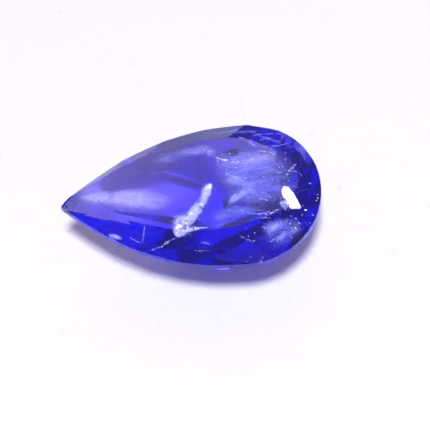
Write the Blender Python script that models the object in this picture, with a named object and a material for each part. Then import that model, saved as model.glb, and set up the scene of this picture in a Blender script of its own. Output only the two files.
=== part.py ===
"""Pear-cut tanzanite, one loose stone lying on its culet with the table up.

The stone is made as a cutter makes it. A pear-shaped blank is stood on end,
and one flat facet after another is ground off it, first the crown, then the
pavilion. Azimuths run counter-clockwise from the round head at +X, so the tip
points along -X and the broad side shown in front lies along -Y. Lengths are
in metres, written through MM.
"""

import math
from typing import NamedTuple

import bmesh
import bpy
import numpy as np
from mathutils import Vector

MM = 0.001

# Driving dimensions
LENGTH = 10.0 * MM
WIDTH = 6.9 * MM
HEAD_LENGTH = 2.9 * MM  # from the widest place to the round head
CROWN_HEIGHT = 0.4 * MM
GIRDLE_HEIGHT = 0.2 * MM
PAVILION_DEPTH = 3.4 * MM

# Outline of the girdle
TIP_LENGTH = LENGTH - HEAD_LENGTH
HALF_WIDTH = WIDTH / 2
SIDE_POWER = 2.215  # 2 would make each side a plain parabola
SIDE_STEPS = 25
HEAD_STEP = 6.0  # degrees
SHOULDER = (62.0, 86.0)  # degrees on the head that the cutter left as one flat

# Flat spot that the stone rests on, under its centre of mass
CULET_CENTRE = (-0.8 * MM, 0.17 * MM)
CULET_HALF_LENGTH = 1.26 * MM
CULET_HALF_WIDTH = 0.74 * MM

TABLE_HEIGHT = GIRDLE_HEIGHT + CROWN_HEIGHT
CUT_SNAP = 1e-4 * MM


class Facet(NamedTuple):
    """One crown facet. Its plane meets the girdle's upper edge at the outline, moved out by clear."""

    azimuth: float  # degrees
    angle: float  # degrees from the girdle plane
    clear: float  # metres


CROWN = (
    # The tip: one long facet on the axis and two small ones beside it.
    Facet(184, 14, 0),
    Facet(218, 22, -0.10 * MM),
    Facet(221, 17, 0.23 * MM),
    # The near side, from the tip to the head.
    Facet(229, 27.5, -0.04 * MM),
    Facet(240.5, 23.5, -0.07 * MM),
    Facet(251, 17, -0.02 * MM),
    Facet(257, 18.5, -0.14 * MM),
    Facet(272, 15, 0),
    Facet(289, 13.5, 0),
    # The round head.
    Facet(312, 17, 0),
    Facet(338, 20, 0),
    Facet(3, 25.5, 0),
    Facet(30, 21.5, 0),
    Facet(55, 18.5, 0),
    # The far side, from the head to the tip.
    Facet(76, 20.5, 0),
    Facet(93, 24, 0),
    Facet(106, 26, 0),
    Facet(117, 33, 0),
    Facet(129, 39, 0),
)

# The pavilion's main facets on each side of the axis: azimuth, and the degrees by which
# this unevenly cut stone is steeper there than a plane from the girdle to the culet's rim.
FAR_MAINS = {0: 7.0, 34: -1.0, 66: -1.0, 93: 0.0, 113: 1.0, 131: -2.0}
NEAR_MAINS = {0: 7.0, 34: 2.5, 66: -4.5, 93: 3.0, 113: 0.0, 131: -1.5}
# Smaller facets between them along the girdle, on both sides.
GIRDLE_AZIMUTHS = (17, 50, 80, 103, 122)
GIRDLE_FACET_EXTRA = 2.0  # degrees steeper than the main facets beside them


def side_half_width(x):
    """Half width at x behind the widest place: it falls with a power of the share of the way to the tip."""
    return HALF_WIDTH * (1 - (np.abs(x) / TIP_LENGTH) ** SIDE_POWER)


def head_points(degrees):
    """Points on the head, a half ellipse. Positive degrees are on the far side."""
    turned = np.radians(degrees)
    return np.column_stack((HEAD_LENGTH * np.cos(turned), HALF_WIDTH * np.sin(turned)))


def girdle_outline():
    """The pear seen from above, counter-clockwise from the tip, with one shoulder flat on the far side."""
    x = np.linspace(-TIP_LENGTH, 0, SIDE_STEPS + 1)
    near = np.column_stack((x, -side_half_width(x)))
    far = near[::-1] * (1, -1)
    around = np.arange(-90 + HEAD_STEP, 90, HEAD_STEP)
    outside_flat = (around < SHOULDER[0]) | (around > SHOULDER[1])
    around = np.unique(np.append(around[outside_flat], SHOULDER))
    return np.vstack((near, head_points(around), far[:-1]))


def unit(azimuth):
    """The level direction at an azimuth in degrees."""
    turned = math.radians(azimuth)
    return np.array((math.cos(turned), math.sin(turned)))


def reach(outline, azimuth):
    """How far the outline goes from the origin towards an azimuth."""
    return float((outline @ unit(azimuth)).max())


def blank(outline):
    """A prism of the outline, from the culet's height to the table's."""
    mesh = bmesh.new()
    bottom = mesh.faces.new([mesh.verts.new((x, y, -PAVILION_DEPTH)) for x, y in outline])
    lifted = bmesh.ops.extrude_face_region(mesh, geom=[bottom])["geom"]
    top = [part for part in lifted if isinstance(part, bmesh.types.BMVert)]
    bmesh.ops.translate(mesh, verts=top, vec=(0, 0, PAVILION_DEPTH + TABLE_HEIGHT))
    bmesh.ops.recalc_face_normals(mesh, faces=mesh.faces)
    return mesh


def grind(mesh, normal, point):
    """Take off all that lies beyond a plane and close the cut with one flat facet."""
    parts = mesh.verts[:] + mesh.edges[:] + mesh.faces[:]
    cut = bmesh.ops.bisect_plane(
        mesh, geom=parts, dist=CUT_SNAP, plane_co=point, plane_no=normal, clear_outer=True
    )
    rim = [part for part in cut["geom_cut"] if isinstance(part, bmesh.types.BMEdge)]
    if rim:
        bmesh.ops.contextual_create(mesh, geom=rim)


def grind_facet(mesh, azimuth, angle, distance, height, up):
    """Grind the facet that faces an azimuth, leans by an angle and passes a distance out at a height."""
    level = unit(azimuth)
    lean = math.radians(angle)
    normal = Vector((*(level * math.sin(lean)), up * math.cos(lean)))
    grind(mesh, normal, Vector((*(level * distance), height)))


def grind_crown(mesh, outline):
    for facet in CROWN:
        distance = reach(outline, facet.azimuth) + facet.clear
        grind_facet(mesh, facet.azimuth, facet.angle, distance, GIRDLE_HEIGHT, up=1)


def culet_angle(outline, azimuth):
    """The angle at which a plane runs from the girdle's lower edge to the rim of the culet."""
    level = unit(azimuth)
    to_girdle = reach(outline, azimuth) - float(level @ CULET_CENTRE)
    to_culet = math.hypot(CULET_HALF_LENGTH * level[0], CULET_HALF_WIDTH * level[1])
    return math.degrees(math.atan2(PAVILION_DEPTH, to_girdle - to_culet))


def unevenness(side, azimuth):
    """Degrees added to the culet's angle on one side, read between that side's main facets."""
    return float(np.interp(azimuth, list(side), list(side.values())))


def grind_pavilion(mesh, outline):
    for azimuths, extra in ((FAR_MAINS, 0.0), (GIRDLE_AZIMUTHS, GIRDLE_FACET_EXTRA)):
        for azimuth in azimuths:
            for side, turn in ((FAR_MAINS, azimuth), (NEAR_MAINS, -azimuth)):
                angle = culet_angle(outline, turn) + unevenness(side, azimuth) + extra
                grind_facet(mesh, turn, angle, reach(outline, turn), 0, up=-1)


def stand_on_origin(mesh):
    """Bring the middle of the stone's box over the origin and its culet down to the floor."""
    corners = np.array([vert.co for vert in mesh.verts])
    low, high = corners.min(axis=0), corners.max(axis=0)
    middle = (low + high) / 2
    bmesh.ops.translate(mesh, verts=mesh.verts, vec=(-middle[0], -middle[1], -low[2]))


def tanzanite_material():
    """Clear violet-blue stone, polished on every facet."""
    material = bpy.data.materials.new("tanzanite")
    material.use_nodes = True
    surface = material.node_tree.nodes["Principled BSDF"]
    surface.inputs["Base Color"].default_value = (0.16, 0.12, 0.72, 1)
    surface.inputs["Metallic"].default_value = 0.0
    surface.inputs["Roughness"].default_value = 0.04
    surface.inputs["IOR"].default_value = 1.695
    surface.inputs["Transmission Weight"].default_value = 1.0
    return material


def tanzanite():
    """The whole stone, one solid."""
    outline = girdle_outline()
    mesh = blank(outline)
    grind_crown(mesh, outline)
    grind_pavilion(mesh, outline)
    stand_on_origin(mesh)
    bmesh.ops.recalc_face_normals(mesh, faces=mesh.faces)
    data = bpy.data.meshes.new("tanzanite")
    mesh.to_mesh(data)
    mesh.free()
    data.materials.append(tanzanite_material())
    stone = bpy.data.objects.new("tanzanite", data)
    bpy.context.scene.collection.objects.link(stone)
    return stone


def clear_scene():
    for thing in list(bpy.data.objects):
        bpy.data.objects.remove(thing, do_unlink=True)


def main():
    clear_scene()
    tanzanite()


if __name__ == "__main__":
    main()
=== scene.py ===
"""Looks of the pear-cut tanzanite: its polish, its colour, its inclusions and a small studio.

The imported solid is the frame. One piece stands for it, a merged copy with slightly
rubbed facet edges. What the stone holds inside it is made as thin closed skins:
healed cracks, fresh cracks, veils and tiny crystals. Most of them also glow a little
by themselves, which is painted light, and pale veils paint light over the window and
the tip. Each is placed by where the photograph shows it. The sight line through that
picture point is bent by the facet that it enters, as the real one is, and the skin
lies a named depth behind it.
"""

import math
from typing import NamedTuple

import bmesh
import bpy
import numpy as np
from bpy.props import FloatProperty, FloatVectorProperty, IntProperty, PointerProperty
from mathutils import Matrix, Vector
from mathutils.bvhtree import BVHTree


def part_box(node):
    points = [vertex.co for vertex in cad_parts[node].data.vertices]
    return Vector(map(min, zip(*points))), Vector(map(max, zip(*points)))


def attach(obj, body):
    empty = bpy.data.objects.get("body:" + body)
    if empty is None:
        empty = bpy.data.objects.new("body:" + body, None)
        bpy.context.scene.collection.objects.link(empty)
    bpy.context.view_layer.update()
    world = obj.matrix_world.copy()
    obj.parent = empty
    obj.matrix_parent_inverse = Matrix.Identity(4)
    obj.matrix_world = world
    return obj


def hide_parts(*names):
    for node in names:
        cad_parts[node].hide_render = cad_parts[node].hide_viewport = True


bl_info = {
    "name": "Pear-cut tanzanite",
    "version": (1, 0, 0),
    "blender": (4, 5, 0),
    "location": "3D View > Sidebar > Tanzanite",
    "description": "Polish, inclusions and a pale studio for a faceted tanzanite",
    "category": "Add Mesh",
}

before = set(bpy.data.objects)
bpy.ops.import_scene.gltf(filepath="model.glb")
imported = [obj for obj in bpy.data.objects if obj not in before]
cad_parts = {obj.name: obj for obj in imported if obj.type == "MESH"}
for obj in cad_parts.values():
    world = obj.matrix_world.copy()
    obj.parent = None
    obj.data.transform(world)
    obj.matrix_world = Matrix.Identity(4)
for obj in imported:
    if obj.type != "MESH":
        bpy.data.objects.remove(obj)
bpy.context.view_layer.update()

MM = 0.001
STONE = "tanzanite"
IOR = 1.695
WHITE = (1.0, 1.0, 1.0)
FLOOR_GAP = 0.002 * MM  # keeps the culet and the card from lying in one plane

# The photograph and where the stone lies in it
PICTURE_SIZE = 430  # pixels
PIXELS_PER_MM = 26.15
VIEW_ELEVATION = 50.5  # degrees
VIEW_AZIMUTH = 5.42  # degrees from -Y towards +X
VIEW_ROLL = 8.21  # degrees
LENS = 200.0  # mm
SENSOR = 36.0  # mm
GIRDLE_CENTRE_PIXEL = (245.79, 196.33)  # the widest place on the axis, girdle's lower plane
GIRDLE_CENTRE = (2.1 * MM, 0.0, 3.4 * MM)

# Finish of the cut stone
MERGE_DISTANCE = 0.0005 * MM
FLAT_ANGLE = math.radians(0.3)
LEAST_DEPTH = 0.03  # mm from the facet it is seen through to a film's middle
LEAST_GAP = 0.02  # mm from any facet to the skin of an inclusion
INWARD_STEPS = 8  # moves off one facet after another that bring a point to that gap
SINES = 7  # waves that a ripple is the mean of
RIPPLE_GAIN = 1.6  # brings their mean back to about one
TOWARDS_LIGHT = (0.0, 0.44)  # a film's tilt that mirrors the main light into the camera


def unit_rows(vectors):
    return vectors / np.linalg.norm(vectors, axis=-1, keepdims=True)


class View:
    """The photograph's camera: where it stands and how its axes point."""

    def __init__(self):
        elevation, azimuth, roll = map(math.radians, (VIEW_ELEVATION, VIEW_AZIMUTH, VIEW_ROLL))
        level = np.array((math.sin(azimuth), -math.cos(azimuth), 0))
        self.back = level * math.cos(elevation) + np.array((0, 0, math.sin(elevation)))
        across = np.array((math.cos(azimuth), math.sin(azimuth), 0))
        over = np.cross(self.back, across)
        self.right = across * math.cos(roll) - over * math.sin(roll)
        self.up = across * math.sin(roll) + over * math.cos(roll)
        pixel = MM / PIXELS_PER_MM
        middle = PICTURE_SIZE / 2
        aside = (middle - GIRDLE_CENTRE_PIXEL[0]) * pixel
        above = (GIRDLE_CENTRE_PIXEL[1] - middle) * pixel
        target = np.array(GIRDLE_CENTRE) + self.right * aside + self.up * above
        self.place = target + self.back * (PICTURE_SIZE * pixel * LENS / SENSOR)

    def sight(self, pixels):
        """Directions of the sight lines through picture points, an array of rows."""
        offset = (np.asarray(pixels, float) - PICTURE_SIZE / 2) * (SENSOR / PICTURE_SIZE / LENS)
        lines = offset[..., :1] * self.right - offset[..., 1:] * self.up - self.back
        return unit_rows(lines)


VIEW = View()


class Solid:
    """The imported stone, to be looked into and to keep pieces inside it."""

    def __init__(self):
        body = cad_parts[STONE].data
        corners = [vertex.co.copy() for vertex in body.vertices]
        self.tree = BVHTree.FromPolygons(corners, [tuple(face.vertices) for face in body.polygons])
        self.normals = np.array([face.normal for face in body.polygons])
        self.reaches = np.array([face.normal.dot(corners[face.vertices[0]]) for face in body.polygons])

    def holds(self, points, margin):
        """Whether points lie inside every facet's plane by at least a margin."""
        return (points @ self.normals.T < self.reaches - margin).all(-1)

    def drawn_in(self, points, margins):
        """Points moved inwards, off the facet they come closest to, until each keeps its margin."""
        for _ in range(INWARD_STEPS):
            gaps = self.reaches - points @ self.normals.T
            nearest = gaps.argmin(-1)
            short = np.minimum(gaps.min(-1) - margins, 0)
            points = points + short[..., None] * self.normals[nearest]
        return points


SOLID = Solid()


class Window:
    """The facet that is seen at one picture point, as a way into the stone."""

    def __init__(self, pixel):
        point, normal, _, _ = SOLID.tree.ray_cast(Vector(VIEW.place), Vector(VIEW.sight(pixel)))
        if point is None:
            raise RuntimeError(f"no facet is seen at picture point {pixel}")
        self.point, self.normal = np.array(point), np.array(normal)

    def place(self, pixels, depth):
        """Points seen at picture points, a depth behind the facet's plane.

        The sight line meets the plane and is bent by Snell's law: with d its direction,
        n the normal, e = 1 / IOR and c = -n.d, it goes on as e d + (e c - root) n,
        where root = sqrt(1 - e^2 (1 - c^2)).
        """
        lines = VIEW.sight(pixels)
        facing = -(lines @ self.normal)[..., None]
        reach = ((self.point - VIEW.place) @ self.normal) / -facing
        root = np.sqrt(1 - (1 - facing**2) / IOR**2)
        inside = lines / IOR + (facing / IOR - root) * self.normal
        return VIEW.place + reach * lines + inside * (np.asarray(depth)[..., None] / root)


def curve_through(points, count, closed=False):
    """A Catmull-Rom curve through rows of numbers, read at count even steps of its parameter."""
    points = np.asarray(points, float)
    if closed:
        padded = np.vstack((points[-1:], points, points[:2]))
        spans = len(points)
    else:
        padded = np.vstack((2 * points[0] - points[1], points, 2 * points[-1] - points[-2]))
        spans = len(points) - 1
    steps = np.linspace(0, spans, count, endpoint=not closed)
    first = np.minimum(steps.astype(int), spans - 1)
    t = (steps - first)[:, None]
    a, b, c, d = (padded[first + shift] for shift in range(4))
    return 0.5 * (2 * b + (c - a) * t + (2 * a - 5 * b + 4 * c - d) * t**2 + (3 * (b - c) + d - a) * t**3)


def ripple(pixels, wavelength, seed):
    """A smooth uneven field between about -1 and 1: the mean of a few sines in random directions."""
    draws = np.random.default_rng(seed)
    turn = draws.uniform(0, 2 * math.pi, SINES)
    pitch = 2 * math.pi / (wavelength * draws.uniform(0.5, 1.5, SINES))
    waves = np.stack((np.cos(turn), np.sin(turn))) * pitch
    start = draws.uniform(0, 2 * math.pi, SINES)
    return np.sin(np.asarray(pixels) @ waves + start).mean(-1) * RIPPLE_GAIN


def grid_faces(rows, columns):
    """Faces of a grid whose first and last rows are single points and whose columns go round."""
    ring = np.arange((rows - 2) * columns).reshape(rows - 2, columns) + 1
    turned = np.roll(ring, -1, axis=1)
    sides = np.stack((ring[:-1], turned[:-1], turned[1:], ring[1:]), -1).reshape(-1, 4)
    start = np.stack((np.zeros(columns, int), turned[0], ring[0]), -1)
    close = np.stack((ring[-1], turned[-1], np.full(columns, (rows - 2) * columns + 1)), -1)
    return sides, np.vstack((start, close))


def ends_joined(grids):
    """Rows of values of each grid, with its first and last rows taken as one point each."""
    count, _, columns = grids.shape[:3]
    middle = grids[:, 1:-1].reshape(count, -1, *grids.shape[3:])
    return np.concatenate((grids[:, :1, 0], middle, grids[:, -1:, 0]), axis=1)


def skins(name, points, fade):
    """One mesh of closed skins, each a grid of points (count, rows, columns, 3) with closed ends.

    A grid whose signed volume, the sum of a . (b x c) over its triangles, is below nought is
    inside out, so its columns are taken in the other order.
    """
    count, rows, columns = points.shape[:3]
    sides, caps = grid_faces(rows, columns)
    triangles = np.vstack((sides[:, :3], sides[:, [0, 2, 3]], caps))
    corners = ends_joined(points)
    a, b, c = (corners[:, triangles[:, k]] - corners[:, :1] for k in range(3))
    inside_out = np.einsum("nij,nij->n", a, np.cross(b, c)) < 0
    points = np.where(inside_out[:, None, None, None], points[:, :, ::-1], points)
    fade = np.where(inside_out[:, None, None], fade[:, :, ::-1], fade)
    corners, shares = ends_joined(points), ends_joined(fade)
    shift = np.arange(count)[:, None, None] * corners.shape[1]
    faces = [(block + shift).reshape(-1, block.shape[1]).tolist() for block in (sides, caps)]
    return mesh_piece(name, corners.reshape(-1, 3), faces[0] + faces[1], shares.ravel())


def mesh_piece(name, corners, faces, fade):
    """An object at the origin with the given mesh, smooth, and a point attribute named fade."""
    mesh = bpy.data.meshes.new(name)
    mesh.from_pydata(corners.tolist(), [], faces)
    share = mesh.attributes.new("fade", "FLOAT", "POINT")
    share.data.foreach_set("value", np.asarray(fade, np.float32))
    mesh.shade_smooth()
    piece = bpy.data.objects.new(name, mesh)
    bpy.context.scene.collection.objects.link(piece)
    return piece


class Film(NamedTuple):
    """How a thin skin inside the stone lies. Lengths are in mm."""

    depth: float  # behind the facet it is seen through, at its middle
    tilt: tuple = (0.0, 0.0)  # depth gained per mm to the right and down in the picture
    thickness: float = 0.02
    wave: float = 0.0  # height of the uneven waves
    wavelength: float = 12.0  # pixels
    ragged: float = 0.0  # how far its edge strays: pixels on a patch, a share of the width on a ribbon
    seed: int = 1


def film_depth(film, pixels, middle):
    """Depth of the film's middle surface under picture points, in metres."""
    away = (pixels - middle) / PIXELS_PER_MM
    waves = film.wave * ripple(pixels, film.wavelength, film.seed)
    return np.maximum(film.depth + away @ np.array(film.tilt) + waves, LEAST_DEPTH) * MM


def patch(name, outline, film, rings=14, columns=72):
    """A lens-shaped skin behind a picture outline.

    With s from 0 at the middle to 1 at the rim and a angle round it, the picture point is
    middle + s (edge(a) - middle), and the two faces lie half the thickness times
    sqrt(1 - s^2) either side of the film's own surface. Fade is 1 - s.
    """
    edge = curve_through(outline, columns, closed=True)
    middle = edge.mean(0)
    stray = film.ragged * ripple(edge, 4.0, film.seed + 5)
    edge = edge + unit_rows(edge - middle) * stray[:, None]
    turn = np.linspace(0, math.pi, 2 * rings + 1)
    s = np.sin(turn)
    pixels = middle + s[:, None, None] * (edge - middle)
    half = film.thickness / 2 * MM * np.cos(turn)
    depth = film_depth(film, pixels, middle) - half[:, None]
    margins = (LEAST_GAP + film.thickness / 2) * MM - half[:, None]
    points = SOLID.drawn_in(Window(middle).place(pixels, depth), margins)
    fade = np.repeat(1 - s[:, None], columns, axis=1)
    return skins(name, points[None], fade[None])


def ribbon(name, line, widths, film, rows=60, columns=16):
    """A flat skin along a picture line, with closed ends.

    With u from 0 to 1 along the line and f the angle round its profile, the picture point is
    line(u) + width(u) cos(f) across it, and the depth is the film's own plus half its
    thickness times sin(f). The width falls to nothing at both ends as sqrt(1 - (2u - 1)^4).
    Fade is 1 - |cos f|.
    """
    count = rows + 1
    centre = curve_through(line, count)
    u = np.linspace(0, 1, count)
    taper = np.sqrt(np.maximum(1 - (2 * u - 1) ** 4, 0))
    width = np.interp(u, np.linspace(0, 1, len(widths)), widths) * taper
    along = unit_rows(np.gradient(centre, axis=0))
    across = np.stack((-along[:, 1], along[:, 0]), -1)
    turn = np.linspace(0, 2 * math.pi, columns, endpoint=False)
    reach = width[:, None] * np.cos(turn)
    spots = np.stack((reach * 3, np.repeat(u[:, None] * 200, columns, 1)), -1)
    reach = reach * (1 + film.ragged * ripple(spots, 14.0, film.seed + 5))
    pixels = centre[:, None] + across[:, None] * reach[..., None]
    half = film.thickness / 2 * MM * taper[:, None] * np.sin(turn)
    depth = film_depth(film, pixels, centre[count // 2]) + half
    margins = (LEAST_GAP + film.thickness / 2) * MM + half
    points = SOLID.drawn_in(Window(centre[count // 2]).place(pixels, depth), margins)
    fade = np.repeat((1 - np.abs(np.cos(turn)))[None], count, axis=0)
    return skins(name, points[None], fade[None])


def flakes(name, places, sizes, seed, spread=0.16):
    """Many small lens-shaped crystals in one mesh, each turned its own way.

    Each is the surface (a cos t sin p, b sin t sin p, c cos p) on a coarse grid, turned by a
    random frame whose face leans about twenty degrees towards the light, and set on its place.
    """
    t = np.linspace(0, 2 * math.pi, 8, endpoint=False)
    p = np.linspace(0, math.pi, 6)[:, None]
    shape = np.stack(np.broadcast_arrays(np.cos(t) * np.sin(p), np.sin(t) * np.sin(p), np.cos(p)), -1)
    draws = np.random.default_rng(seed)
    count = len(places)
    lean = np.array((0.04, -0.36, 1.0)) + draws.normal(0, spread, (count, 3)) * (1, 1, 0)
    face = unit_rows(lean)
    side = unit_rows(np.cross(face, unit_rows(draws.normal(0, 1, (count, 3)))))
    frames = np.stack((side, np.cross(face, side), face), 1)
    sized = shape[None] * sizes[:, None, None]
    points = np.einsum("nijk,nkl->nijl", sized, frames) + places[:, None, None]
    return skins(name, points, np.ones(points.shape[:3]))


class Shade:
    """A socket of a material. Python's operators on it add the Math nodes they stand for."""

    def __init__(self, finish, socket):
        self.finish, self.socket = finish, socket

    def math(self, operation, *others, swap=False, clamp=False):
        values = (*others, self) if swap else (self, *others)
        settings = {"operation": operation, "use_clamp": clamp}
        return self.finish.node("ShaderNodeMath", settings, dict(enumerate(values)))

    def __add__(self, other):
        return self.math("ADD", other)

    def __radd__(self, other):
        return self.math("ADD", other, swap=True)

    def __rsub__(self, other):
        return self.math("SUBTRACT", other, swap=True)

    def __mul__(self, other):
        return self.math("MULTIPLY", other)

    def __rmul__(self, other):
        return self.math("MULTIPLY", other, swap=True)

    def clamped(self):
        return self.math("ADD", 0.0, clamp=True)

    def between(self, low, high):
        """0 below low, 1 above high and a smooth step in between."""
        settings = {"interpolation_type": "SMOOTHSTEP"}
        values = {"Value": self, "From Min": low, "From Max": high}
        return self.finish.node("ShaderNodeMapRange", settings, values)


class Finish:
    """A material under construction."""

    def __init__(self, name):
        self.material = bpy.data.materials.new(name)
        self.material.use_nodes = True
        self.tree = self.material.node_tree
        self.surface = self.tree.nodes["Principled BSDF"]
        self.output = self.tree.nodes["Material Output"]
        coordinates = self.tree.nodes.new("ShaderNodeTexCoord")
        self.place = Shade(self, coordinates.outputs["Object"])

    def node(self, kind, settings=None, inputs=None, output=0):
        """Add a node, make its settings first, then give its sockets their values or links."""
        made = self.tree.nodes.new(kind)
        for name, value in (settings or {}).items():
            setattr(made, name, value)
        self.feed(made, inputs or {})
        return Shade(self, made.outputs[output])

    def feed(self, node, inputs):
        """Give a node's sockets, by name or number, their values or links."""
        for name, value in inputs.items():
            if isinstance(value, Shade):
                self.tree.links.new(value.socket, node.inputs[name])
            else:
                node.inputs[name].default_value = value

    def noise(self, per_mm, detail=3.0, roughness=0.55, stretch=(1, 1, 1), distortion=0.0):
        """Fractal noise with about per_mm lumps in a millimetre."""
        scaled = self.node("ShaderNodeMapping", inputs={"Vector": self.place, "Scale": stretch})
        values = {
            "Vector": scaled, "Scale": per_mm / MM, "Detail": detail,
            "Roughness": roughness, "Distortion": distortion,
        }
        return self.node("ShaderNodeTexNoise", inputs=values)

    def cells(self, per_mm):
        """Distance to the nearest of scattered points, about per_mm of them along a millimetre."""
        return self.node("ShaderNodeTexVoronoi", inputs={"Vector": self.place, "Scale": per_mm / MM})

    def attribute(self, name):
        return self.node("ShaderNodeAttribute", {"attribute_name": name}, output="Fac")

    def mix(self, factor, first, second):
        """One colour over another by a factor."""
        colours = {0: factor, 6: first, 7: second}
        return self.node("ShaderNodeMix", {"data_type": "RGBA"}, colours, output=2)

    def bump(self, height, strength, distance):
        values = {"Height": height, "Strength": strength, "Distance": distance}
        return self.node("ShaderNodeBump", inputs=values)

    def finish(self, **sockets):
        """Feed the Principled shader. An underscore in a name stands for a space."""
        self.feed(self.surface, {name.replace("_", " "): value for name, value in sockets.items()})
        return self.material


def opaque(colour):
    return (*colour, 1.0)


def polished_finish(stone):
    """Clear violet-blue stone: mirror polish, faint wheel marks and frosted rubbed edges."""
    f = Finish("polished_tanzanite")
    rubbed = f.attribute("wear")
    grain = f.noise(14, detail=4)
    wheel = f.noise(5, detail=1, stretch=(0.2, 4, 1))
    swell = f.noise(0.6, detail=2)
    rough = stone.roughness + rubbed * grain.between(0.35, 0.65) * stone.edge_roughness
    height = wheel * 0.02 + swell + rubbed * grain * 0.5
    tone = f.mix(rubbed * 0.35, opaque(stone.tint), opaque((0.9, 0.92, 1.0)))
    f.finish(
        Base_Color=tone, Roughness=rough, IOR=IOR, Transmission_Weight=1.0,
        Normal=f.bump(height, stone.waviness, 0.01 * MM),
    )
    absorption = f.node(
        "ShaderNodeVolumeAbsorption",
        inputs={"Color": opaque(stone.colour), "Density": stone.density},
    )
    f.tree.links.new(absorption.socket, f.output.inputs["Volume"])
    return f.material


def feather_finish(looks):
    """A healed crack: whitish grains with clear gaps, densest along its middle."""
    f = Finish("healed_crack")
    fade = f.attribute("fade")
    grains = f.cells(looks.grain)
    lumps = f.noise(looks.grain * 0.3, detail=5, roughness=0.7)
    cover = (1 - grains.between(0.15, 0.6)) * 0.45 + lumps.between(0.44, 0.6) * 0.8
    alpha = (cover * fade.between(0.0, 0.7) * looks.feather_cover).clamped()
    tone = f.mix(lumps.between(0.4, 0.6), opaque((0.5, 0.6, 0.95)), opaque(looks.feather_colour))
    return f.finish(
        Base_Color=tone, Roughness=0.3 + 0.3 * lumps, Metallic=0.75, Alpha=alpha,
        # Emission is painted light: the grains glow with their own tone, as no lamp in the scene makes them.
        Emission_Color=tone, Emission_Strength=looks.painted_feather_glow,
        Normal=f.bump(grains * 0.6 + lumps, 0.9, 0.03 * MM),
    )


def crack_finish(looks, name="fresh_crack", strength=1.0, gaps=0.65):
    """A fresh crack: an air film, glassy, bright from the lamps and from a painted glow, with fine steps
    across it and gaps in it.
    """
    f = Finish(name)
    fade = f.attribute("fade")
    steps = f.noise(5, detail=4, stretch=(1, 3, 1), distortion=0.6)
    specks = f.noise(16, detail=3, roughness=0.7)
    cover = (1 - gaps) + gaps * steps.between(0.42, 0.6)
    alpha = (cover * fade.between(0.0, 0.35) * (looks.crack_cover * strength)).clamped()
    tone = f.mix(specks.between(0.4, 0.65), opaque((0.72, 0.8, 1.0)), opaque(WHITE))
    return f.finish(
        Base_Color=tone, Roughness=0.25 + 0.25 * specks, Metallic=0.9, Alpha=alpha,
        # Emission is painted light: the crack glows with its own tone besides what it mirrors.
        Emission_Color=tone, Emission_Strength=looks.painted_crack_glow * strength,
        Normal=f.bump(steps * 2 + specks * 0.5, 0.5, 0.02 * MM),
    )


def glare_finish(looks):
    """A wide open crack that mirrors the main light, nearly smooth, and glows with a painted glare as well.
    """
    f = Finish("open_crack_painted_glare")
    fade = f.attribute("fade")
    steps = f.noise(3, detail=4, stretch=(1, 2, 1), distortion=0.4)
    alpha = ((0.7 + 0.6 * steps) * fade.between(0.0, 0.15)).clamped()
    tone = f.mix(steps.between(0.45, 0.75), opaque(WHITE), opaque((0.8, 0.88, 1.0)))
    return f.finish(
        Base_Color=tone, Roughness=0.22 + 0.15 * steps, Metallic=0.95, Alpha=alpha,
        # Emission is painted glare: the film glows at the glints' strength on top of mirroring the main
        # light.
        Emission_Color=tone, Emission_Strength=looks.painted_glint_glow, Normal=f.bump(steps, 0.3, 0.02 * MM),
    )


def veil_finish(name, looks, colour, cover):
    """A thin cloud of tiny crystals that mists the stone, in drawn-out wisps, and glows with painted light.
    """
    f = Finish(name)
    fade = f.attribute("fade")
    wisps = f.noise(1.0, detail=6, roughness=0.62, stretch=(0.5, 1.4, 1), distortion=0.6)
    dust = f.noise(22, detail=2, roughness=0.8)
    alpha = wisps.between(0.25, 0.72) * fade.between(0.0, 0.8) * (0.5 + dust) * cover
    tone = f.mix(wisps.between(0.4, 0.7), opaque(colour), opaque((0.85, 0.9, 1.0)))
    return f.finish(
        Base_Color=tone, Roughness=0.45 + 0.3 * dust, Metallic=0.3, Alpha=alpha.clamped(),
        # Emission is painted light: the veil glows with its own tone.
        Emission_Color=tone, Emission_Strength=looks.painted_veil_glow,
        Normal=f.bump(wisps, 0.6, 0.08 * MM),
    )


def glint_finish(looks):
    """Tiny crystals with flat faces that mirror the lamps and also glow as painted glints."""
    f = Finish("glint_crystals")
    facets = f.cells(9)
    tone = f.mix(facets.between(0.3, 0.6), opaque(WHITE), opaque((0.75, 0.8, 1.0)))
    return f.finish(
        Base_Color=tone, Roughness=0.15 + 0.3 * facets, Metallic=0.9,
        # Emission is painted glint: the crystals glow with their own tone besides mirroring the lamps.
        Emission_Color=tone, Emission_Strength=looks.painted_glint_glow,
    )


def dark_finish(looks):
    """A dark cloudy inclusion, nearly black violet in its middle."""
    f = Finish("dark_cloud")
    fade = f.attribute("fade")
    lumps = f.noise(4, detail=4, roughness=0.65)
    alpha = (fade.between(0.0, 0.8) * lumps.between(0.3, 0.6) * looks.dark_cover).clamped()
    tone = f.mix(lumps.between(0.4, 0.65), opaque((0.02, 0.012, 0.06)), opaque((0.09, 0.07, 0.2)))
    return f.finish(Base_Color=tone, Roughness=0.5 + 0.2 * lumps, Alpha=alpha)


def shared(name, make, looks):
    """The finish of this name, made when it is first asked for."""
    return bpy.data.materials.get(name) or make(looks)


def card_finish(studio):
    """Smooth white card with a faint tooth."""
    f = Finish("white_card")
    tooth = f.noise(2.5, detail=4)
    patches = f.noise(0.02, detail=2)
    low = tuple(0.985 * share for share in studio.floor_colour)
    return f.finish(
        Base_Color=f.mix(patches, opaque(studio.floor_colour), opaque(low)),
        Roughness=0.75 + 0.1 * tooth, Normal=f.bump(tooth, 0.05, 0.01 * MM),
    )


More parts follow.
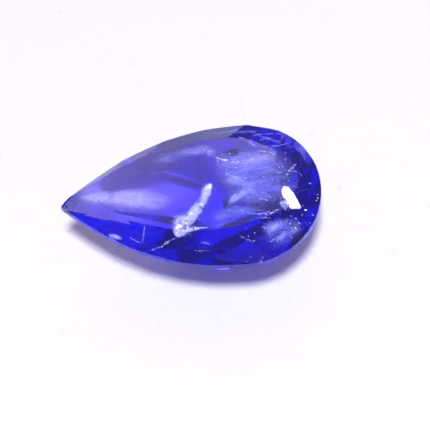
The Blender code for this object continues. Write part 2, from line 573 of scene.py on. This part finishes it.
class StoneSettings(bpy.types.PropertyGroup):
    """Size of the worn edges and the colour of the cut stone."""

    colour: FloatVectorProperty(
        name="Colour", description="Light kept over one absorption length", subtype="COLOR",
        size=3, default=(0.25, 0.165, 0.94), min=0, max=1,
    )
    density: FloatProperty(name="Depth of colour", description="Absorption per metre", default=654.0)
    tint: FloatVectorProperty(
        name="Tint", description="Light kept at each passage through the surface", subtype="COLOR",
        size=3, default=(0.98, 0.97, 1.0), min=0, max=1,
    )
    roughness: FloatProperty(name="Polish", description="Roughness of a facet", default=0.0, min=0, max=1)
    edge_roughness: FloatProperty(name="Edge frost", description="Roughness of a rubbed edge", default=0.35)
    waviness: FloatProperty(name="Waviness", description="Strength of the wheel marks", default=0.25, min=0)
    edge_width: FloatProperty(
        name="Edge width", description="Width of the rubbed facet edges",
        default=0.018 * MM, unit="LENGTH", precision=6,
    )


class InclusionSettings(bpy.types.PropertyGroup):
    """Cover and colour of what lies inside the stone."""

    feather_cover: FloatProperty(
        name="Feather cover", description="How opaque healed cracks are", default=0.95,
    )
    feather_colour: FloatVectorProperty(
        name="Feather colour", description="Colour of the grains", subtype="COLOR", size=3,
        default=(0.95, 0.98, 1.0),
    )
    # Painted glow of the healed cracks: their emission strength, light they give by themselves.
    painted_feather_glow: FloatProperty(
        name="Feather light", description="Light that healed cracks scatter", default=0.35,
    )
    grain: FloatProperty(name="Grains per mm", description="Fineness of healed cracks", default=9.0)
    crack_cover: FloatProperty(name="Crack cover", description="How opaque fresh cracks are", default=0.95)
    # Painted glow of the fresh cracks: their emission strength, light they give by themselves.
    painted_crack_glow: FloatProperty(name="Crack light", description="Light that fresh cracks scatter", default=0.5)
    # Painted glow of the veils: their emission strength, light they give by themselves.
    painted_veil_glow: FloatProperty(name="Veil light", description="Light that the mist scatters", default=0.25)
    dark_cover: FloatProperty(name="Dark cover", description="How opaque dark clouds are", default=0.65)
    # Painted glow of the glints, the dust and the open crack: their emission strength, light they give by
    # themselves.
    painted_glint_glow: FloatProperty(
        name="Glint light", description="Light that tiny crystals scatter", default=1.2,
    )
    dust: IntProperty(name="Dust crystals", description="Tiny crystals strewn through the stone", default=70)
    lines: IntProperty(name="Fine cracks", description="Hairline cracks in the head", default=110)


class StudioSettings(bpy.types.PropertyGroup):
    """The floor and the lights."""

    floor_colour: FloatVectorProperty(
        name="Floor", description="Colour of the card", subtype="COLOR", size=3, default=(0.9, 0.9, 0.9),
    )
    floor_radius: FloatProperty(
        name="Floor radius", description="Half width of the card", default=1.2, unit="LENGTH",
    )
    wall_colour: FloatVectorProperty(
        name="Walls", description="Light from the walls", subtype="COLOR", size=3,
        default=(0.21, 0.17, 0.27),
    )
    ceiling_colour: FloatVectorProperty(
        name="Ceiling", description="Light from the ceiling", subtype="COLOR", size=3,
        default=(0.25, 0.2, 0.32),
    )
    key_power: FloatProperty(
        name="Key light", description="Power of the main softbox", default=1.35, unit="POWER",
    )
    key_tilt: FloatProperty(
        name="Key tilt", description="From straight above towards the camera",
        default=math.radians(28), subtype="ANGLE",
    )
    key_turn: FloatProperty(
        name="Key turn", description="From -Y towards +X, seen from above",
        default=math.radians(7), subtype="ANGLE",
    )
    key_size: FloatProperty(
        name="Key size", description="Diameter of the main softbox", default=0.045, unit="LENGTH",
    )
    back_power: FloatProperty(
        name="Back light", description="Power of the rear softbox", default=0.067, unit="POWER",
    )
    back_tilt: FloatProperty(
        name="Back tilt", description="From straight above, away from the camera",
        default=math.radians(40), subtype="ANGLE",
    )
    back_size: FloatProperty(
        name="Back size", description="Diameter of the rear softbox", default=0.25, unit="LENGTH",
    )
    light_distance: FloatProperty(
        name="Light distance", description="From the stone", default=0.37, unit="LENGTH",
    )


def worn_copy(width):
    """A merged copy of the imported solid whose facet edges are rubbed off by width.

    Loose triangles are merged, those in one plane are joined into one facet, and every
    remaining edge is cut back. The new strips carry the attribute wear.
    """
    mesh = bmesh.new()
    mesh.from_mesh(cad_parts[STONE].data)
    bmesh.ops.remove_doubles(mesh, verts=mesh.verts, dist=MERGE_DISTANCE)
    bmesh.ops.dissolve_limit(mesh, angle_limit=FLAT_ANGLE, verts=mesh.verts, edges=mesh.edges)
    wear = mesh.faces.layers.float.new("wear")
    bmesh.ops.bevel(
        mesh, geom=mesh.edges[:], offset=width, offset_type="OFFSET", segments=1, profile=0.5,
        affect="EDGES", clamp_overlap=True, material=1,
    )
    for face in mesh.faces:
        face[wear] = float(face.material_index)
        face.material_index = 0
    mesh.normal_update()
    data = bpy.data.meshes.new("cut_stone")
    mesh.to_mesh(data)
    mesh.free()
    return data


class TANZANITE_OT_stone(bpy.types.Operator):
    """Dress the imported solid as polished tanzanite."""

    bl_idname = "tanzanite.stone"
    bl_label = "Cut stone"

    def execute(self, context):
        settings = context.scene.tanzanite_stone
        piece = bpy.data.objects.new("cut_stone", worn_copy(settings.edge_width))
        context.scene.collection.objects.link(piece)
        piece.data.materials.clear()
        piece.data.materials.append(polished_finish(settings))
        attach(piece, "root")
        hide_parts(STONE)
        return {"FINISHED"}


def set_inside(piece, material):
    """Give an inclusion its finish and let it ride with the stone."""
    piece.data.materials.append(material)
    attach(piece, "root")
    return piece


# Picture points of the healed feather, from its rounded top down to its broad foot
FEATHER_LINE = (
    (211.5, 183.5), (207, 190), (201.5, 202), (195.5, 211), (187.5, 219), (180.5, 226), (176, 233),
)
FEATHER_HALF_WIDTHS = (4.5, 5.5, 5.5, 6.0, 8.5, 12.0, 8.5)
FEATHER_CORE = ((211, 184), (207.5, 189), (204, 195.5), (201, 203))
FEATHER_HEEL = ((199, 207), (193, 214), (186, 220), (180, 226), (176.5, 231))
FOOT_LINE = ((174, 235), (184, 231.5), (195, 228.6), (203, 228), (209, 226.8))
DEPTHS_WIDER = 1.25  # width of the feather's lower layer over its upper one


class TANZANITE_OT_feather(bpy.types.Operator):
    """Make the healed feather, its bright cores and the streak at its foot."""

    bl_idname = "tanzanite.feather"
    bl_label = "Healed feather"

    def execute(self, context):
        looks = context.scene.tanzanite_inclusions
        healed = shared("healed_crack", feather_finish, looks)
        fresh = crack_finish(looks, "feather_cores", strength=0.8, gaps=0.85)
        line, widths = FEATHER_LINE, FEATHER_HALF_WIDTHS
        film = Film(depth=0.25, tilt=(0.1, 0.3), thickness=0.05, wave=0.06, wavelength=9, ragged=0.28, seed=3)
        set_inside(ribbon("healed_feather", line, widths, film, rows=90, columns=24), healed)
        under = film._replace(depth=0.5, wave=0.08, wavelength=7, ragged=0.3, seed=8)
        wider = [DEPTHS_WIDER * width for width in widths]
        set_inside(ribbon("feather_depths", line, wider, under, rows=90, columns=24), healed)
        core = Film(
            depth=0.14, tilt=TOWARDS_LIGHT, thickness=0.03, wave=0.03, wavelength=5, ragged=0.4, seed=11,
        )
        set_inside(ribbon("feather_core", FEATHER_CORE, (3.0, 3.6, 2.6, 1.6), core), fresh)
        heel = core._replace(seed=13)
        set_inside(ribbon("feather_heel", FEATHER_HEEL, (1.4, 2.4, 3.2, 3.6, 2.4), heel), fresh)
        foot = Film(depth=0.1, tilt=(0, 0.3), thickness=0.03, wave=0.02, wavelength=6, ragged=0.3, seed=4)
        set_inside(ribbon("feather_foot", FOOT_LINE, (0.8, 1.8, 2.2, 1.0, 0.6), foot), fresh)
        return {"FINISHED"}


# Picture points of what glares and clouds the round head
GLARE_OUTLINE = (
    (283, 184.5), (287, 185), (291, 189), (295, 195.5), (298.5, 202), (301, 208), (295, 209),
    (290, 208.5), (288, 201), (282.5, 193),
)
GLARE_SKIRT = ((278.5, 197), (284, 196), (288, 202), (290, 209), (284, 209.5), (279, 204))
BLUE_FLAKE = (
    (227, 201.5), (232.5, 193.5), (238, 193), (243, 188), (246.5, 185.5), (252.5, 191),
    (246, 195.5), (236, 202), (228.5, 205),
)
LEAF_OUTLINE = ((226.5, 173.3), (236, 175), (246, 178), (247, 181), (244.5, 184.2), (236, 180.5), (229, 177))
NEAR_SPOT = ((222, 199), (226, 197), (229, 203), (227, 210), (223, 209))
HEAD_STREAKS = (
    ("head_streak_a", ((296, 163), (292, 168), (286, 176)), 1.4),
    ("head_streak_b", ((301, 176), (297, 172), (290, 171)), 0.9),
    ("head_streak_c", ((262, 172), (272, 170), (281, 173.5)), 0.8),
    ("head_streak_d", ((255, 203), (262, 199), (268, 200.5)), 1.0),
    ("head_streak_e", ((236, 217), (246, 213), (259, 214), (270, 211.5)), 0.9),
)


class TANZANITE_OT_head(bpy.types.Operator):
    """Make the cracks and clouds under the round head."""

    bl_idname = "tanzanite.head"
    bl_label = "Head cracks"

    def execute(self, context):
        looks = context.scene.tanzanite_inclusions
        fresh = crack_finish(looks, "head_crack", strength=0.5, gaps=0.9)
        healed = shared("healed_crack", feather_finish, looks)
        dark = shared("dark_cloud", dark_finish, looks)
        glare = Film(
            depth=0.3, tilt=TOWARDS_LIGHT, thickness=0.03, wave=0.015, wavelength=9, ragged=0.6, seed=21,
        )
        set_inside(patch("glare_crack", GLARE_OUTLINE, glare), glare_finish(looks))
        skirt = Film(depth=0.3, tilt=(0, 0.3), thickness=0.03, wave=0.04, wavelength=5, ragged=0.8, seed=23)
        set_inside(patch("glare_skirt", GLARE_SKIRT, skirt), healed)
        cloud = veil_finish("blue_flake", looks, (0.5, 0.66, 1.0), 2.2)
        flake = Film(
            depth=0.35, tilt=TOWARDS_LIGHT, thickness=0.03, wave=0.03, wavelength=12, ragged=0.8, seed=25,
        )
        set_inside(patch("blue_flake", BLUE_FLAKE, flake), cloud)
        leaf = Film(depth=0.25, tilt=(0.1, 0.3), thickness=0.02, wave=0.02, wavelength=9, ragged=0.3, seed=27)
        set_inside(patch("leaf_crack", LEAF_OUTLINE, leaf), cloud)
        spot = Film(depth=0.2, thickness=0.04, ragged=0.6, seed=29)
        set_inside(patch("dark_spot", NEAR_SPOT, spot), dark)
        for place, (name, line, width) in enumerate(HEAD_STREAKS):
            film = Film(depth=0.2, tilt=TOWARDS_LIGHT, wave=0.03, wavelength=6, ragged=0.5, seed=31 + place)
            set_inside(ribbon(name, line, (width,) * 3, film), fresh)
        return {"FINISHED"}


# Picture points of the oval cloud and the arcs near the far edge of the table
EYE_OUTLINE = (
    (220, 152.5), (226, 149), (233, 147.5), (241, 148.5), (247.5, 152), (242, 156), (234, 157.3), (226, 156),
)
EYE_RIM = ((214, 156.5), (222, 159.5), (236, 162), (250, 160), (262, 157))
EYE_WISP = ((204, 150), (210, 146.5), (217, 149), (216, 155), (209, 158), (204.5, 155))
FAR_STREAKS = (
    ("far_streak_a", ((237.4, 136.5), (244, 139), (250.8, 142.8), (255.6, 146.6)), 1.3),
    ("far_streak_b", ((251.8, 135.6), (262, 134.3), (273, 133.6), (283.3, 134.1)), 0.6),
    ("far_streak_c", ((259.4, 140.4), (265, 138.8), (271.9, 138)), 0.6),
    ("far_streak_d", ((259.4, 145.6), (270, 146.4), (280, 145.2), (289, 142.8)), 0.6),
    ("far_streak_e", ((249, 155), (256, 151.5), (266, 151.5), (277, 154)), 0.8),
    ("far_streak_f", ((222, 165), (232, 167.5), (242, 166)), 0.6),
)


class TANZANITE_OT_eye(bpy.types.Operator):
    """Make the oval cloud with its light rim and the arcs beyond it."""

    bl_idname = "tanzanite.eye"
    bl_label = "Oval cloud"

    def execute(self, context):
        looks = context.scene.tanzanite_inclusions
        fresh = crack_finish(looks, "far_crack", strength=0.5, gaps=0.9)
        healed = shared("healed_crack", feather_finish, looks)
        dark = shared("dark_cloud", dark_finish, looks)
        oval = Film(depth=0.5, thickness=0.05, ragged=0.5, seed=41)
        set_inside(patch("oval_cloud", EYE_OUTLINE, oval), dark)
        rim = Film(depth=0.2, tilt=(0, 0.3), wave=0.03, wavelength=7, ragged=0.4, seed=43)
        set_inside(ribbon("oval_rim", EYE_RIM, (0.6, 1.4, 1.9, 1.6, 0.8), rim), healed)
        wisp = Film(depth=0.25, tilt=(0, 0.3), wave=0.04, wavelength=6, ragged=0.8, seed=45)
        smoke = veil_finish("oval_wisp", looks, (0.5, 0.58, 0.92), 1.0)
        set_inside(patch("oval_wisp", EYE_WISP, wisp), smoke)
        for place, (name, line, width) in enumerate(FAR_STREAKS):
            film = Film(depth=0.12, tilt=TOWARDS_LIGHT, wave=0.02, wavelength=6, ragged=0.4, seed=47 + place)
            set_inside(ribbon(name, line, (width,) * 3, film), fresh)
        return {"FINISHED"}


# Picture points of what is seen through the near crown facets and at the tip
NEAR_STREAKS = (
    ("near_blade", ((145.5, 219.8), (144.5, 228), (143.4, 236), (142.9, 243.5)), 0.9),
    ("near_streak_a", ((200, 242.7), (204, 242.6), (209.8, 244)), 0.9),
    ("near_streak_b", ((194.6, 250.3), (201.3, 250.9), (211, 250.3)), 0.7),
    ("near_streak_c", ((151.5, 250.3), (158, 247.6), (167.9, 242.7)), 0.9),
    ("near_streak_d", ((129, 236.5), (134, 240), (141, 243)), 0.7),
    ("near_streak_e", ((240, 236), (247, 239.5), (254, 242.5)), 0.9),
    ("near_streak_f", ((262, 226), (268, 231), (271, 238)), 0.7),
    ("ridge_nick_a", ((164, 243), (171, 240), (181, 236.2)), 0.7),
    ("ridge_nick_b", ((270, 213.6), (274, 211.6), (279, 209.4)), 1.1),
    ("ridge_nick_c", ((296, 207.4), (300, 206.8), (304, 205.6)), 0.8),
    ("ridge_nick_d", ((214, 226.4), (221, 224.6), (228, 222.4)), 0.6),
)
LAVENDER_LEAF = ((107.5, 234.5), (113, 233), (120, 235.5), (123.5, 239.5), (117, 240), (110, 237.5))
DARK_PATCH = ((289, 240), (293, 234), (300, 232), (305.5, 234), (302, 241), (295, 247.5), (290, 248))
TIP_CHIP = ((64.8, 206.8), (66.2, 205.4), (68.2, 205.3), (67.4, 207.2), (65.6, 208.2))
TIP_NICK = ((72.5, 203.8), (75, 202.6), (77.5, 203.2), (75.5, 204.6))


class TANZANITE_OT_near(bpy.types.Operator):
    """Make the streaks and clouds behind the near crown facets and at the tip."""

    bl_idname = "tanzanite.near"
    bl_label = "Near cracks"

    def execute(self, context):
        looks = context.scene.tanzanite_inclusions
        fresh = crack_finish(looks, "near_crack", strength=0.5, gaps=0.9)
        dark = shared("dark_cloud", dark_finish, looks)
        for place, (name, line, width) in enumerate(NEAR_STREAKS):
            film = Film(depth=0.1, tilt=(0, 0.2), wave=0.01, wavelength=6, ragged=0.4, seed=61 + place)
            set_inside(ribbon(name, line, (width,) * 3, film), fresh)
        leaf = Film(depth=0.12, tilt=(0, 0.1), ragged=0.4, seed=71)
        cloud = veil_finish("lavender_leaf", looks, (0.6, 0.62, 1.0), 1.6)
        set_inside(patch("lavender_leaf", LAVENDER_LEAF, leaf), cloud)
        for place, (name, outline) in enumerate(
            (("dark_patch", DARK_PATCH), ("tip_chip", TIP_CHIP), ("tip_nick", TIP_NICK))
        ):
            spot = Film(depth=0.06, thickness=0.02, ragged=0.3, seed=73 + place)
            set_inside(patch(name, outline, spot), dark)
        return {"FINISHED"}


# Picture outlines of the mist under the table, and of the pale sheets that paint light over the window and
# the tip
RIGHT_MIST = (
    (212, 150), (232, 142), (256, 141), (278, 148), (292, 164), (296, 184), (288, 200), (270, 208),
    (248, 210), (228, 200), (216, 182), (208, 164),
)
UPPER_MIST = ((150, 160), (172, 150), (196, 145), (216, 143), (214, 152), (192, 158), (168, 166), (152, 169))
WINDOW_GLOW = (
    (92, 203), (98, 194), (112, 189), (132, 187), (154, 188), (172, 194), (178, 204), (166, 212),
    (140, 211), (114, 208),
)
TIP_MIST = ((72, 199), (84, 190), (100, 187), (112, 190), (112, 200), (98, 204), (82, 203))
CROWN_MIST = ((262, 224), (276, 217), (294, 217), (304, 226), (298, 240), (282, 250), (266, 246))
LOW_MIST = ((200, 216), (220, 208), (246, 205), (268, 206), (262, 212), (238, 218), (214, 223))


class TANZANITE_OT_mist(bpy.types.Operator):
    """Spread thin clouds of tiny crystals under the table, and pale glowing sheets that paint light over the
    window and the tip.
    """

    bl_idname = "tanzanite.mist"
    bl_label = "Mist"

    def execute(self, context):
        looks = context.scene.tanzanite_inclusions
        grey = veil_finish("grey_mist", looks, (0.45, 0.52, 0.85), 1.15)
        # The pale mist is painted light: whitish glowing sheets that brighten the window and the tip.
        pale = veil_finish("painted_light_mist", looks, (0.75, 0.8, 1.0), 1.35)
        clouds = (
            ("right_mist", RIGHT_MIST, 0.7, grey), ("right_mist_deep", RIGHT_MIST, 1.3, grey),
            ("upper_mist", UPPER_MIST, 0.5, grey), ("low_mist", LOW_MIST, 0.35, grey),
            ("window_glow", WINDOW_GLOW, 0.45, pale), ("tip_mist", TIP_MIST, 0.2, pale),
            ("crown_mist", CROWN_MIST, 0.3, grey),
        )
        for place, (name, outline, depth, material) in enumerate(clouds):
            film = Film(depth=depth, tilt=(0, 0.1), wave=0.08, wavelength=22, ragged=3.0, seed=81 + place)
            set_inside(patch(name, outline, film, rings=20), material)
        return {"FINISHED"}


# Picture points of glints, each a tiny crystal that mirrors the lamps and glows as a painted glint, with the
# size of each in pixels
GLINTS = (
    (153.6, 151.7, 0.9), (159.7, 149.0, 0.8), (162.7, 154.0, 0.9), (141.3, 160.5, 0.8), (146.7, 164.4, 0.8),
    (152.8, 160.9, 0.7), (154.3, 166.6, 0.9), (151.6, 169.3, 0.8), (152.8, 173.5, 0.9), (157.0, 173.8, 0.8),
    (226.9, 173.9, 1.6), (246.0, 178.2, 1.3), (244.0, 184.0, 1.0), (310.0, 183.4, 1.3), (317.6, 194.5, 1.1),
    (317.8, 198.0, 1.2), (316.5, 200.6, 0.9), (290.0, 223.6, 1.5), (295.6, 228.0, 1.4), (299.0, 223.0, 1.1),
    (291.0, 216.0, 0.9), (296.0, 218.5, 1.0), (302.0, 215.0, 0.9), (305.8, 210.0, 1.4), (313.0, 215.0, 1.0),
    (310.0, 223.0, 0.9), (246.0, 228.7, 0.9), (254.5, 233.0, 1.0), (248.6, 236.4, 1.2), (254.0, 241.0, 1.0),
    (270.6, 213.3, 1.3), (266.0, 214.4, 1.0), (262.5, 257.6, 1.1), (260.8, 260.8, 1.0), (246.6, 261.6, 1.0),
    (250.6, 257.0, 0.9), (167.9, 242.7, 1.1), (162.0, 246.7, 0.9), (152.3, 249.7, 1.0), (277.0, 209.8, 0.9),
    (195.5, 228.8, 1.4), (176.5, 232.6, 1.3), (75.4, 203.3, 0.6), (293.0, 168.0, 1.0), (287.0, 174.0, 0.9),
    (240.0, 138.0, 1.2), (250.5, 142.6, 1.2), (206.0, 186.0, 1.2), (203.0, 197.0, 1.0), (192.5, 213.0, 1.2),
    (183.0, 222.0, 1.3), (187.5, 227.5, 1.1), (179.0, 218.0, 0.8), (173.0, 226.0, 0.9), (199.0, 219.0, 0.7),
)
GLINT_DEPTH = 0.07  # mm
TABLE_PIXEL = (200.0, 180.0)
HEAD_CENTRE = (262.0, 182.0)  # picture point that the fine cracks crowd round


class TANZANITE_OT_glints(bpy.types.Operator):
    """Strew tiny crystals that mirror the lamps and glow as painted glints, dust specks that glow the same
    way, and hairline cracks.
    """

    bl_idname = "tanzanite.glints"
    bl_label = "Glints"

    def execute(self, context):
        looks = context.scene.tanzanite_inclusions
        bright = glint_finish(looks)
        places = np.array([Window(spot[:2]).place(np.array(spot[:2]), GLINT_DEPTH * MM) for spot in GLINTS])
        radii = np.array(GLINTS)[:, 2:] * (MM / PIXELS_PER_MM)
        uneven = np.random.default_rng(89).uniform(0.45, 1.15, (len(GLINTS), 3))
        set_inside(flakes("glints", places, radii * uneven * (1.1, 0.4, 0.3), seed=91), bright)
        set_inside(self.dust(looks.dust), bright)
        set_inside(self.hairlines(looks.lines), crack_finish(looks, "hairline_crack", strength=0.3, gaps=0.9))
        return {"FINISHED"}

    def dust(self, count):
        """Specks at random places well inside the stone, most of them under the head."""
        draws = np.random.default_rng(93)
        low, high = map(np.array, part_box(STONE))
        share = draws.beta((1.6, 1.4, 3.0), (1.2, 1.4, 1.2), (count * 12, 3))
        places = low + share * (high - low)
        places = places[SOLID.holds(places, 0.12 * MM)][:count]
        sizes = draws.uniform(0.004, 0.016, (len(places), 1)) * MM * draws.uniform(0.4, 1.0, (len(places), 3))
        return flakes("dust", places, sizes, seed=95, spread=0.3)

    def hairlines(self, count):
        """Short thin cracks: bent ribbons round random picture points, each with its own turn and depth.

        With u from -1 to 1 and f the angle round the profile, the picture point is
        middle + u length along + (u^2 bend + width sqrt(1 - u^2) cos f) across.
        """
        draws = np.random.default_rng(97)
        middle = draws.normal(HEAD_CENTRE, (22, 17), (count, 2))
        turn = draws.normal(-0.35, 0.9, count)
        length, width = draws.uniform(1.5, 8, count), draws.uniform(0.12, 0.6, count)
        bend = draws.normal(0, 0.6, count)
        depth = draws.uniform(0.08, 0.6, count)
        along = np.stack((np.cos(turn), np.sin(turn)), -1)
        across = np.stack((-along[:, 1], along[:, 0]), -1)
        u = np.linspace(-1, 1, 13)[:, None]
        round_it = np.linspace(0, 2 * math.pi, 8, endpoint=False)
        taper = np.sqrt(np.maximum(1 - u**2, 0))
        far = (u**2 * bend[:, None, None] + width[:, None, None] * taper * np.cos(round_it))[..., None]
        run = (u * length[:, None, None] + 0 * round_it)[..., None]
        pixels = middle[:, None, None] + run * along[:, None, None] + far * across[:, None, None]
        half = 0.008 * taper * np.sin(round_it)
        tilt = (pixels[..., 1] - middle[:, None, None, 1]) / PIXELS_PER_MM * TOWARDS_LIGHT[1]
        below = np.maximum(depth[:, None, None] + tilt, LEAST_DEPTH) + half
        points = Window(TABLE_PIXEL).place(pixels, below * MM)
        kept = SOLID.holds(points, 0.01 * MM).all((1, 2))
        fade = np.broadcast_to(1 - np.abs(np.cos(round_it)), points.shape[:3])
        return skins("hairlines", points[kept], fade[kept])


class TANZANITE_OT_studio(bpy.types.Operator):
    """Lay a pale floor, hang the softboxes and set up the photograph's camera."""

    bl_idname = "tanzanite.studio"
    bl_label = "Studio"

    def execute(self, context):
        studio = context.scene.tanzanite_studio
        self.floor(studio)
        self.camera(context)
        self.softboxes(context, studio)
        self.room(context, studio)
        return {"FINISHED"}

    def floor(self, studio):
        """A flat disc a hair below the stone: rings of radius R s^2 with s from 0 to 1."""
        level = -FLOOR_GAP
        columns = 64
        rings = np.linspace(0, 1, 24)[1:] ** 2 * studio.floor_radius
        turn = np.linspace(0, 2 * math.pi, columns, endpoint=False)
        spots = np.stack((rings[:, None] * np.cos(turn), rings[:, None] * np.sin(turn)), -1).reshape(-1, 2)
        corners = np.vstack(((0, 0, level), np.column_stack((spots, np.full(len(spots), level)))))
        ring = np.arange(len(spots)).reshape(-1, columns) + 1
        turned = np.roll(ring, -1, axis=1)
        sides = np.stack((ring[:-1], ring[1:], turned[1:], turned[:-1]), -1).reshape(-1, 4)
        start = np.stack((np.zeros(columns, int), ring[0], turned[0]), -1)
        card = mesh_piece("floor", corners, sides.tolist() + start.tolist(), np.ones(len(corners)))
        card.data.materials.append(card_finish(studio))
        return card

    def camera(self, context):
        camera = bpy.data.objects.new("camera", bpy.data.cameras.new("camera"))
        context.scene.collection.objects.link(camera)
        camera.data.lens, camera.data.sensor_width = LENS, SENSOR
        camera.data.clip_start, camera.data.clip_end = 1 * MM, 5.0
        turned = Matrix((VIEW.right, VIEW.up, VIEW.back)).transposed().to_4x4()
        turned.translation = VIEW.place
        camera.matrix_world = turned
        context.scene.camera = camera

    def softboxes(self, context, studio):
        tilt, turn, back = studio.key_tilt, studio.key_turn, studio.back_tilt
        level = math.sin(tilt)
        key = Vector((level * math.sin(turn), -level * math.cos(turn), math.cos(tilt)))
        rear = Vector((0, math.sin(back), math.cos(back)))
        boxes = (
            ("key", key, studio.key_size, studio.key_power),
            ("rear", rear, studio.back_size, studio.back_power),
        )
        for name, direction, size, power in boxes:
            lamp = bpy.data.lights.new(name, "AREA")
            lamp.shape, lamp.size, lamp.energy = "DISK", size, power
            box = bpy.data.objects.new(name, lamp)
            context.scene.collection.objects.link(box)
            box.location = direction * studio.light_distance
            box.rotation_euler = (-direction).to_track_quat("-Z", "Y").to_euler()

    def room(self, context, studio):
        """Pale near the horizon and below it, dim violet walls and ceiling."""
        world = bpy.data.worlds.new("room")
        world.use_nodes = True
        context.scene.world = world
        tree = world.node_tree
        place = tree.nodes.new("ShaderNodeTexCoord")
        split = tree.nodes.new("ShaderNodeSeparateXYZ")
        level = tree.nodes.new("ShaderNodeMapRange")
        ramp = tree.nodes.new("ShaderNodeValToRGB")
        level.inputs["From Min"].default_value = -1
        stops = ((0.0, WHITE), (0.521, WHITE), (0.54, studio.wall_colour), (0.9, studio.ceiling_colour))
        while len(ramp.color_ramp.elements) < len(stops):
            ramp.color_ramp.elements.new(1.0)
        for element, (position, colour) in zip(ramp.color_ramp.elements, stops):
            element.position, element.color = position, opaque(colour)
        tree.links.new(place.outputs["Generated"], split.inputs[0])
        tree.links.new(split.outputs["Z"], level.inputs["Value"])
        tree.links.new(level.outputs[0], ramp.inputs[0])
        tree.links.new(ramp.outputs[0], tree.nodes["Background"].inputs[0])


class TANZANITE_PT_panel(bpy.types.Panel):
    """The sidebar's list of steps."""

    bl_label = "Tanzanite"
    bl_space_type = "VIEW_3D"
    bl_region_type = "UI"
    bl_category = "Tanzanite"

    def draw(self, context):
        for step in STEPS:
            self.layout.operator(step.bl_idname)


STEPS = (
    TANZANITE_OT_stone,
    TANZANITE_OT_feather,
    TANZANITE_OT_head,
    TANZANITE_OT_eye,
    TANZANITE_OT_near,
    TANZANITE_OT_mist,
    TANZANITE_OT_glints,
    TANZANITE_OT_studio,
)
GROUPS = {
    "tanzanite_stone": StoneSettings,
    "tanzanite_inclusions": InclusionSettings,
    "tanzanite_studio": StudioSettings,
}


def register():
    for made in (*GROUPS.values(), *STEPS, TANZANITE_PT_panel):
        bpy.utils.register_class(made)
    for name, group in GROUPS.items():
        setattr(bpy.types.Scene, name, PointerProperty(type=group))


def unregister():
    for name in GROUPS:
        delattr(bpy.types.Scene, name)
    for made in (TANZANITE_PT_panel, *reversed(STEPS), *GROUPS.values()):
        bpy.utils.unregister_class(made)


def show_true_colours(scene):
    """Plain white stays white, and light may cross the stone many times."""
    scene.view_settings.view_transform = "Standard"
    scene.cycles.max_bounces = 24
    scene.cycles.transmission_bounces = 24
    scene.cycles.glossy_bounces = 16
    scene.cycles.transparent_max_bounces = 32
    scene.cycles.blur_glossy = 0.0
    scene.cycles.sample_clamp_indirect = 0.0


def main():
    register()
    for step in STEPS:
        getattr(bpy.ops.tanzanite, step.bl_idname.split(".")[1])()
    show_true_colours(bpy.context.scene)


if __name__ == "__main__":
    main()
